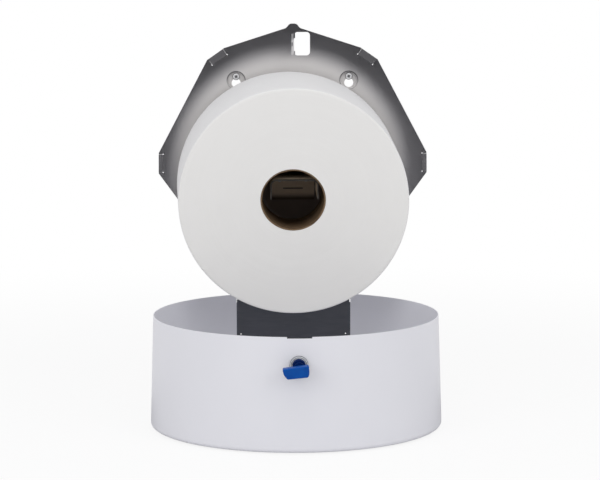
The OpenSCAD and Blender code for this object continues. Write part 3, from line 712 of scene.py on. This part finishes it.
def rounded(shape, edges, radius, segments):
    bmesh.ops.bevel(
        shape, geom=edges, offset=radius, segments=segments, profile=0.5, affect="EDGES", material=-1)


def shaped(name, base, tools, operation):
    """The base mesh after a Boolean modifier with each tool mesh, as a new mesh."""
    carrier = bpy.data.objects.new(name, base)
    bpy.context.scene.collection.objects.link(carrier)
    helpers = []
    for tool in tools:
        helper = bpy.data.objects.new(name + "_tool", tool)
        bpy.context.scene.collection.objects.link(helper)
        modifier = carrier.modifiers.new("shape", "BOOLEAN")
        modifier.object = helper
        modifier.operation = operation
        modifier.solver = "EXACT"
        helpers.append(helper)
    graph = bpy.context.evaluated_depsgraph_get()
    result = bpy.data.meshes.new_from_object(carrier.evaluated_get(graph))
    for thing in [carrier, *helpers]:
        bpy.data.objects.remove(thing)
    clean = bmesh.new()
    clean.from_mesh(result)
    return to_mesh(clean, name)


def block(low, high, matrix=Matrix.Identity(4)):
    """A box between two corners."""
    shape = bmesh.new()
    low, high = Vector(low), Vector(high)
    size = Matrix.Diagonal((*(high - low), 1))
    bmesh.ops.create_cube(shape, size=1, matrix=matrix @ Matrix.Translation((low + high) / 2) @ size)
    return shape


# %% [markdown]
# ## The spindle
# An inverted channel folded from one sheet, with a flange turned down behind it for the two rivets. A press
# brake makes its folds. Here the sheet's section is drawn once and extruded, the flange is joined to it,
# and the slit and the rivet holes are cut. Years of full rolls have bent its front down by a couple of
# millimetres.

# %% Spindle
SHEET = 1.5 * MM
FOLD = 7.0 * MM
LEG = 22.0 * MM
FLANGE_GAP = 0.6 * MM
SLIT_HALF = 11.4 * MM
SLIT_DROP = 23.0 * MM
SLIT_H = 1.6 * MM
DRILL = RIVET_SHANK + 0.05 * MM
SPINDLE_SAG = 2.4 * MM
SHEET_EDGE = 0.3 * MM
SAWN = math.radians(60)


def channel(half, top, back, front):
    """The folded sheet, extruded from the plate to the front, with its sawn edges rounded."""
    fold_x, fold_z = half - FOLD, top - FOLD
    section = [
        (-half, top - LEG), *arc(-fold_x, fold_z, FOLD, 180, 90, 8), *arc(fold_x, fold_z, FOLD, 90, 0, 8),
        (half, top - LEG), (half - SHEET, top - LEG), *arc(fold_x, fold_z, FOLD - SHEET, 0, 90, 8),
        *arc(-fold_x, fold_z, FOLD - SHEET, 90, 180, 8), (SHEET - half, top - LEG)]
    shape = extruded([(x, back, z) for x, z in section], (0, front - back, 0))
    bmesh.ops.recalc_face_normals(shape, faces=shape.faces)
    rounded(shape, [e for e in shape.edges if e.calc_face_angle(0) > SAWN], SHEET_EDGE, 2)
    return to_mesh(shape, "channel")


low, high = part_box("spindle")
half = high.x
flange_half = half - SHEET - FLANGE_GAP
flange = block((-flange_half, high.y - SHEET, low.z), (flange_half, high.y, high.z - SHEET / 2))
tools = [block((-SLIT_HALF, high.y - 2 * SHEET, high.z - SLIT_DROP - SLIT_H / 2),
               (SLIT_HALF, high.y + SHEET, high.z - SLIT_DROP + SLIT_H / 2))]
for rivet_low, rivet_high in solids_of("spindle_rivets"):
    middle = (rivet_low + rivet_high) / 2
    drill = turned(bmesh.new(), [(0, 0), (DRILL, 0), (DRILL, 6 * MM), (0, 6 * MM)], RIVET_STEPS)
    bmesh.ops.transform(drill, matrix=aimed((middle.x, high.y + MM, middle.z), TO_FRONT), verts=drill.verts)
    tools.append(drill)
joined = shaped("spindle_joined", channel(half, high.z, high.y, low.y), [to_mesh(flange, "flange")], "UNION")
channel_mesh = shaped("channel_spindle", joined, [to_mesh(tool, "tool") for tool in tools], "DIFFERENCE")
for vertex in channel_mesh.vertices:
    vertex.co.z -= SPINDLE_SAG * max(0, high.y - SHEET - vertex.co.y) / (high.y - low.y)
seat("channel_spindle", channel_mesh, spindle_painted_light_steel, "wall_plate", "spindle")

# %% [markdown]
# ## Wall screws
# A pan head sits in each keyhole. Its cross recess catches the light as a dark star in a bright disc, which
# is what the picture shows. Behind the plate the thread is a ridge that climbs round the shank: a small
# triangle, spun with a little rise at each step, and then made one with the shank by the Boolean modifier.

# %% Screws
SCREW_HEAD = 4.0 * MM
SCREW_HEAD_H = 2.4 * MM
SCREW_CORE = 1.35 * MM
SCREW_THREAD = 1.9 * MM
SCREW_PITCH = 1.8 * MM
SCREW_SMOOTH = 2.5 * MM
SCREW_NECK = SCREW_THREAD - 0.1 * MM
CROSS_REACH = 2.2 * MM
CROSS_HALF = 0.45 * MM
CROSS_DEPTH = 1.3 * MM
TURN_STEPS = 24


def helix_ridge(core, outer, pitch, low, high):
    """A climbing ridge of triangular section, closed at both ends."""
    shape = bmesh.new()
    sunk = core - 0.15 * MM
    corners = ((sunk, 0, low), (outer, 0, low + pitch * 0.3), (sunk, 0, low + pitch * 0.6))
    section = shape.faces.new([shape.verts.new(corner) for corner in corners])
    turns = math.floor((high - low) / pitch)
    bmesh.ops.spin(
        shape, geom=[section], cent=(0, 0, 0), axis=(0, 0, 1), dvec=(0, 0, pitch / TURN_STEPS),
        angle=2 * math.pi * turns, steps=TURN_STEPS * turns, use_merge=False)
    return to_mesh(shape, "ridge")


def screw_mesh(length):
    """Tip at 0 and pan head at the top."""
    under_head = length - SCREW_HEAD_H
    thread_end = under_head - SCREW_SMOOTH
    shank = [(0, 0), (SCREW_CORE * 0.3, 0.6 * MM), (SCREW_CORE, 4 * MM), (SCREW_CORE, thread_end),
             (SCREW_NECK, thread_end + 0.5 * MM), (SCREW_NECK, under_head)]
    rim = [(SCREW_HEAD, under_head), (SCREW_HEAD, under_head + 0.6 * MM)]
    pan = arc(SCREW_HEAD - 1.7 * MM, length - 1.8 * MM, 1.75 * MM, 5, 90, 6)
    solid = to_mesh(turned(bmesh.new(), [*shank, *rim, *pan, (0, length)], TURN_STEPS * 2), "screw_solid")
    ridge = helix_ridge(SCREW_CORE, SCREW_THREAD, SCREW_PITCH, 2.6 * MM, thread_end)
    joined = shaped("screw_joined", solid, [ridge], "UNION")
    slots = [block((-CROSS_REACH, -CROSS_HALF, length - CROSS_DEPTH), (CROSS_REACH, CROSS_HALF, length + MM),
                   Matrix.Rotation(turn, 4, "Z")) for turn in (0, math.pi / 2)]
    return shaped("screw_cut", joined, [to_mesh(s, "slot") for s in slots], "DIFFERENCE")


screws = bmesh.new()
for low, high in solids_of("wall_screws"):
    one = screw_mesh(high.y - low.y)
    middle = (low + high) / 2
    turn = Matrix.Rotation(random.uniform(0, 1.5), 4, "Z")
    one.transform(aimed((middle.x, high.y, middle.z), TO_FRONT) @ turn)
    screws.from_mesh(one)
seat("wall_screw_set", to_mesh(screws, "wall_screw_set"), screw_coat, "wall_plate", "wall_screws")

# %% [markdown]
# ## The lock's ring and body
# The ring around the key is a turned and chromed disc with rounded shoulders. Behind the drum's wall its
# body is threaded for the nut. The thread is fine, so plain grooves turned into the profile look right and
# cost few faces.

# %% Lock body
RING = 9.7 * MM
RING_T = 2.4 * MM
RECESS = 7.0 * MM
RECESS_DEPTH = 1.4 * MM
BODY = 6.5 * MM
BORE = 4.95 * MM
GROOVE = 8.0 * MM
GROOVE_DEPTH = 0.6 * MM
SHOULDER = 1.1 * MM
LIP = 0.5 * MM
THREAD_PITCH = 1.0 * MM
THREAD_DEPTH = 0.3 * MM

ring_low, ring_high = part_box("lock_housing")
body_length = (ring_high.y - ring_low.y) - RING_T
grooves = []
for k in range(int(body_length / THREAD_PITCH)):
    foot = k * THREAD_PITCH + 0.2 * MM
    grooves += [(BODY - THREAD_DEPTH, foot), (BODY, foot + THREAD_PITCH / 2)]
top = body_length + RING_T
shoulder = arc(RING - SHOULDER, top - SHOULDER, SHOULDER, 0, 80, 6)
lip = arc(RECESS + LIP, top - LIP, LIP, 100, 180, 3)
groove = [(GROOVE + 0.25 * MM, top), (GROOVE + 0.2 * MM, top - GROOVE_DEPTH),
          (GROOVE - 0.2 * MM, top - GROOVE_DEPTH), (GROOVE - 0.25 * MM, top)]
ring_profile = [(BORE, 0), *grooves, (BODY, body_length), (RING, body_length), *shoulder, *groove, *lip,
                (RECESS, top - RECESS_DEPTH), (BORE, top - RECESS_DEPTH)]
lock_axis = (ring_low + ring_high) / 2
lock_body = to_mesh(turned(bmesh.new(), ring_profile, 64, closed=True), "lock_ring")
lock_body.transform(aimed((lock_axis.x, ring_high.y, lock_axis.z), TO_FRONT))
seat("lock_ring", lock_body, chrome, "cover", "lock_housing")

# %% [markdown]
# ## The key
# A square shank goes into the plug, a round collar fills the ring's recess, and a thick flag-shaped bow is
# what fingers turn. Its outline was read off the picture as six corners about the lock's axis. Moulded
# plastic has no sharp corner, so the bow's edges are bevelled round, and a shallow dish on its face gives
# grip.

# %% Key
SHANK = 5.0 * MM
COLLAR = 6.85 * MM
COLLAR_LEN = 5.5 * MM
NECK = 4.6 * MM
NECK_LEN = 3.0 * MM
BOW_LEN = 12.0 * MM
BOW_ROUND = 1.7 * MM
COLLAR_ROUND = 0.8 * MM
BOW_CORNERS = [(-17.4, -0.6), (-15.8, -7.0), (-12.2, -11.4), (9.3, -9.3), (10.4, -5.0), (9.8, 2.9)]


def bow_mesh(bottom):
    shape = extruded([(x * MM, y * MM, bottom) for x, y in BOW_CORNERS], (0, 0, BOW_LEN))
    rounded(shape, list(shape.edges), BOW_ROUND, 5)
    face = max(shape.faces, key=lambda f: f.calc_center_median().z * 1e3 + f.calc_area())
    bmesh.ops.inset_region(shape, faces=[face], thickness=0.9 * MM, depth=-0.35 * MM)
    return to_mesh(shape, "bow")


key_low, key_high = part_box("key")
shank_end = key_high.y - key_low.y - BOW_LEN - NECK_LEN - COLLAR_LEN
collar_end = shank_end + COLLAR_LEN
bow_start = collar_end + NECK_LEN
collar_profile = [
    (0, shank_end), (COLLAR - 0.4 * MM, shank_end), (COLLAR, shank_end + 0.4 * MM),
    *arc(COLLAR - COLLAR_ROUND, collar_end - COLLAR_ROUND, COLLAR_ROUND, 0, 90, 4),
    (NECK, collar_end), (NECK, bow_start + MM), (0, bow_start + MM)]
stem = to_mesh(turned(bmesh.new(), collar_profile, 48), "stem")
shank = block((-SHANK / 2, -SHANK / 2, 0), (SHANK / 2, SHANK / 2, shank_end + 0.5 * MM))
rounded(shank, list(shank.edges), 0.3 * MM, 2)
bow = bow_mesh(bow_start)
key_mesh = shaped("key_moulding", bow, [stem, to_mesh(shank, "shank")], "UNION")
key_mesh.transform(Matrix.Translation((lock_axis.x, key_high.y, lock_axis.z)) @ UPRIGHT)
seat("key_moulding", key_mesh, blue_plastic, "lock_key", "key")

# %% [markdown]
# ## The hole of the roll
# The core was squeezed in transport: in the picture its mouth is a lying oval and sits a little low.
# One function bends a circle about the roll's axis into that oval. The core follows it fully, and the paper
# follows it at the bore and forgets it towards the outside, where the roll is round again.

# %% Squeeze
roll_low, roll_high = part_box("paper_roll")
core_low, core_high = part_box("cardboard_core")
roll_axis = Vector(((roll_low.x + roll_high.x) / 2, 0, (roll_low.z + roll_high.z) / 2))
roll_radius = (roll_high.x - roll_low.x) / 2
core_radius = (core_high.x - core_low.x) / 2
HOLE_SHIFT = Vector((-1.6 * MM, -1.45 * MM))
HOLE_WIDE = 1.045
HOLE_HIGH = 0.985


def squeeze(x, z, share):
    """Moves a point round the roll's axis towards the squeezed oval, by a share from 0 to 1."""
    wide = x * HOLE_WIDE + HOLE_SHIFT.x
    high = z * HOLE_HIGH + HOLE_SHIFT.y
    return x + (wide - x) * share, z + (high - z) * share


# %% [markdown]
# ## Wound paper
# A jumbo roll is some 400 m of two-ply tissue. Its end is not a flat disc: the layers stand out and back by
# fractions of a millimetre, the rim is soft, and the last turn ends in a step. The lathe profile has a point
# every few millimetres across the end, and each vertex is then moved a little by smooth noise.
# The soft roll hangs nose down on the short spindle. Its turns have slipped, the back ones up and to the left
# and the front ones down, where they are pressed a little flat.

# %% Paper roll
PAPER_STEPS = 288
CORE_CLEAR = 0.1 * MM
RIM_SOFT = 1.8 * MM
RING_EVERY = 2.6 * MM
WAVE = 0.14 * MM
TAIL_STEP = 0.35 * MM
TAIL_ANGLE = math.radians(118)
PUFF = 0.35 * MM
BACK_SAG = Vector((-4.6 * MM, 6.8 * MM))
FRONT_SAG = Vector((-0.8 * MM, -3.3 * MM))
FRONT_FLAT = 0.022


def steps_between(start, end, count):
    return [start + (end - start) * i / count for i in range(count + 1)]


def roll_profile(bore, rim, depth):
    ring_count = int((rim - RIM_SOFT - bore) / RING_EVERY)
    bottom = [(r, 0) for r in steps_between(bore, rim - RIM_SOFT, ring_count // 2)]
    side = [(rim, h) for h in steps_between(RIM_SOFT, depth - RIM_SOFT, 18)[1:-1]]
    top_face = [(r, depth) for r in steps_between(rim - RIM_SOFT, bore, ring_count)]
    inside = [(bore, h) for h in steps_between(depth, 0, 6)[1:-1]]
    return [
        *bottom[:-1], *arc(rim - RIM_SOFT, RIM_SOFT, RIM_SOFT, -90, 0, 4), *side,
        *arc(rim - RIM_SOFT, depth - RIM_SOFT, RIM_SOFT, 0, 90, 4), *top_face[1:], *inside]


def wind(shape, bore, rim, depth):
    """Gives the turned roll its waves, its squeezed bore, a soft puff and the step of its loose end."""
    for vertex in shape.verts:
        x, y, z = vertex.co
        radius = math.hypot(x, y)
        angle = math.atan2(y, x)
        share = min(1, max(0, (rim - radius) / (rim - bore)))
        winding = noise.noise(Vector((radius * 190, math.cos(angle) * 0.35, math.sin(angle) * 0.35)))
        lobes = noise.noise(Vector((math.cos(angle) * 1.3, math.sin(angle) * 1.3, radius * 6)))
        if z > depth - 0.01 * MM or z < 0.01 * MM:
            vertex.co.z += WAVE * (winding + 0.6 * lobes) * (1 if z > depth / 2 else -1)
        behind_tail = ((TAIL_ANGLE - angle) % (2 * math.pi)) / (2 * math.pi)
        outer = max(0, 1 - share * 12)
        grow = outer * (PUFF * (0.6 + lobes) - TAIL_STEP * behind_tail)
        lean = BACK_SAG.lerp(FRONT_SAG, z / depth) * (1 - share)
        flat = 1 - FRONT_FLAT * (1 - share) * z / depth
        x, y = x * (1 + grow / radius) + lean.x, y * (1 + grow / radius) * flat + lean.y
        vertex.co.x, vertex.co.y = squeeze(x, y, share ** 1.5)


roll_bore = core_radius + CORE_CLEAR
roll_depth = roll_high.y - roll_low.y
paper = turned(bmesh.new(), roll_profile(roll_bore, roll_radius, roll_depth), PAPER_STEPS, closed=True)
wind(paper, roll_bore, roll_radius, roll_depth)
paper_mesh = to_mesh(paper, "wound_paper")
paper_mesh.transform(Matrix.Translation((roll_axis.x, roll_high.y, roll_axis.z)) @ UPRIGHT)

# %% [markdown]
# ### Tissue
# Tissue is matt and slightly warm. On the ends every turn is an edge, so tone and bump follow the distance
# from the axis, finely, and wander slowly round it. On the side the crepe of the sheet runs across the roll's
# travel. A mask on the surface direction tells the ends from the side.

# %% Tissue material
def off_axis(p):
    """The way from the roll's axis to a place, flat across the axis."""
    return p.mapped((1, 0, 1), (-roll_axis.x, 0, -roll_axis.z))


def tissue(name):
    p = paint(name)
    flat = off_axis(p)
    radius = p.length(flat)
    turn = p.node("ShaderNodeVectorMath", {"operation": "NORMALIZE"}, [flat])
    facing = p.axis(p.node("ShaderNodeTexCoord", out="Normal"), "Y")
    end = (facing * facing).over(0.5, 0.2)

    def rings(per_metre, wander):
        across = p.node("ShaderNodeCombineXYZ", (), (
            radius * per_metre, p.axis(turn, "X") * wander, p.axis(turn, "Z") * wander))
        return p.noise(across, 1.0, 3.0, 0.6)

    fine, broad = rings(1500.0, 0.8), rings(230.0, 0.5)
    crepe = p.noise(p.mapped(scale=(420, 2600, 420)), 1.0, 2.0)
    fluff = p.noise(p.place(), 34.0, 3.0)
    face = p.blend(
        fine * 0.35 + broad * 0.3 + fluff * 0.35, rgb(0.762, 0.754, 0.742), rgb(0.816, 0.808, 0.796))
    side = p.blend(crepe * 0.4 + fluff * 0.6, rgb(0.755, 0.751, 0.762), rgb(0.814, 0.810, 0.821))
    colour = p.blend(end, side, face)
    relief = end * (fine * 0.6 + broad * 0.4) + (1 - end) * crepe
    return p.surface(
        Base_Color=colour, Roughness=0.93 + fluff * 0.05, Specular_IOR_Level=0.2,
        Normal=p.bump(relief, 0.00025, 0.45))


seat("wound_paper", paper_mesh, tissue("tissue"), "roll", "paper_roll")

# %% [markdown]
# ## Cardboard core
# The core is wound from strips of brown board, so seams run round it in long spirals. Where it was cut, its
# rim is frayed and never quite round. The same lathe makes it, and noise frays the rim.

# %% Core
CORE_STEPS = 192
CORE_SET_BACK = 1.8 * MM
FRAY = 0.45 * MM
FRAYED = 6 * MM
CORE_WALL = 1.5 * MM
core_depth = core_high.y - core_low.y - CORE_SET_BACK
inner = core_radius - CORE_WALL
core_profile = [
    (inner, 0), (core_radius, 0), *[(core_radius, h) for h in steps_between(0, core_depth, 10)[1:]],
    (core_radius - CORE_WALL / 2, core_depth), *[(inner, h) for h in steps_between(core_depth, 0, 10)[:-1]]]
core = turned(bmesh.new(), core_profile, CORE_STEPS, closed=True)
for vertex in core.verts:
    x, y, z = vertex.co
    swing = noise.noise(Vector((x * 160, y * 160, z * 20)))
    fibres = noise.noise(Vector((x * 900, y * 900, 3)))
    mouth = max(0, 1 - min(z, core_depth - z) / FRAYED)
    push = 1 + FRAY * mouth * swing / math.hypot(x, y)
    vertex.co.x, vertex.co.y = squeeze(x * push, y * push, 1)
    vertex.co.z += FRAY * mouth * (swing * 0.6 + fibres * 0.4) * (1 if z > core_depth / 2 else -1)
core_mesh = to_mesh(core, "core_tube")
core_mesh.transform(Matrix.Translation((roll_axis.x, core_high.y, roll_axis.z)) @ UPRIGHT)


def board(name):
    p = paint(name)
    flat = off_axis(p)
    place = p.place()
    angle = p.node("ShaderNodeMath", {"operation": "ARCTAN2"}, (p.axis(flat, "Z"), p.axis(flat, "X")))
    spiral = (p.axis(place, "Y") * 95.0 + angle).sine()
    seam = spiral.over(0.985, 0.012)
    fibre = p.noise(p.mapped(scale=(500, 90, 500)), 1.0, 4.0, 0.7)
    mottle = p.noise(place, 60.0, 3.0)
    colour = p.blend(fibre * 0.6 + mottle * 0.4, rgb(0.100, 0.064, 0.038), rgb(0.260, 0.175, 0.105))
    colour = p.blend(seam * 0.6, colour, rgb(0.045, 0.028, 0.018))
    return p.surface(
        Base_Color=colour, Roughness=0.85, Specular_IOR_Level=0.25,
        Normal=p.bump(fibre - seam, 0.00015, 0.6))


seat("core_tube", core_mesh, board("core_board"), "roll", "cardboard_core")
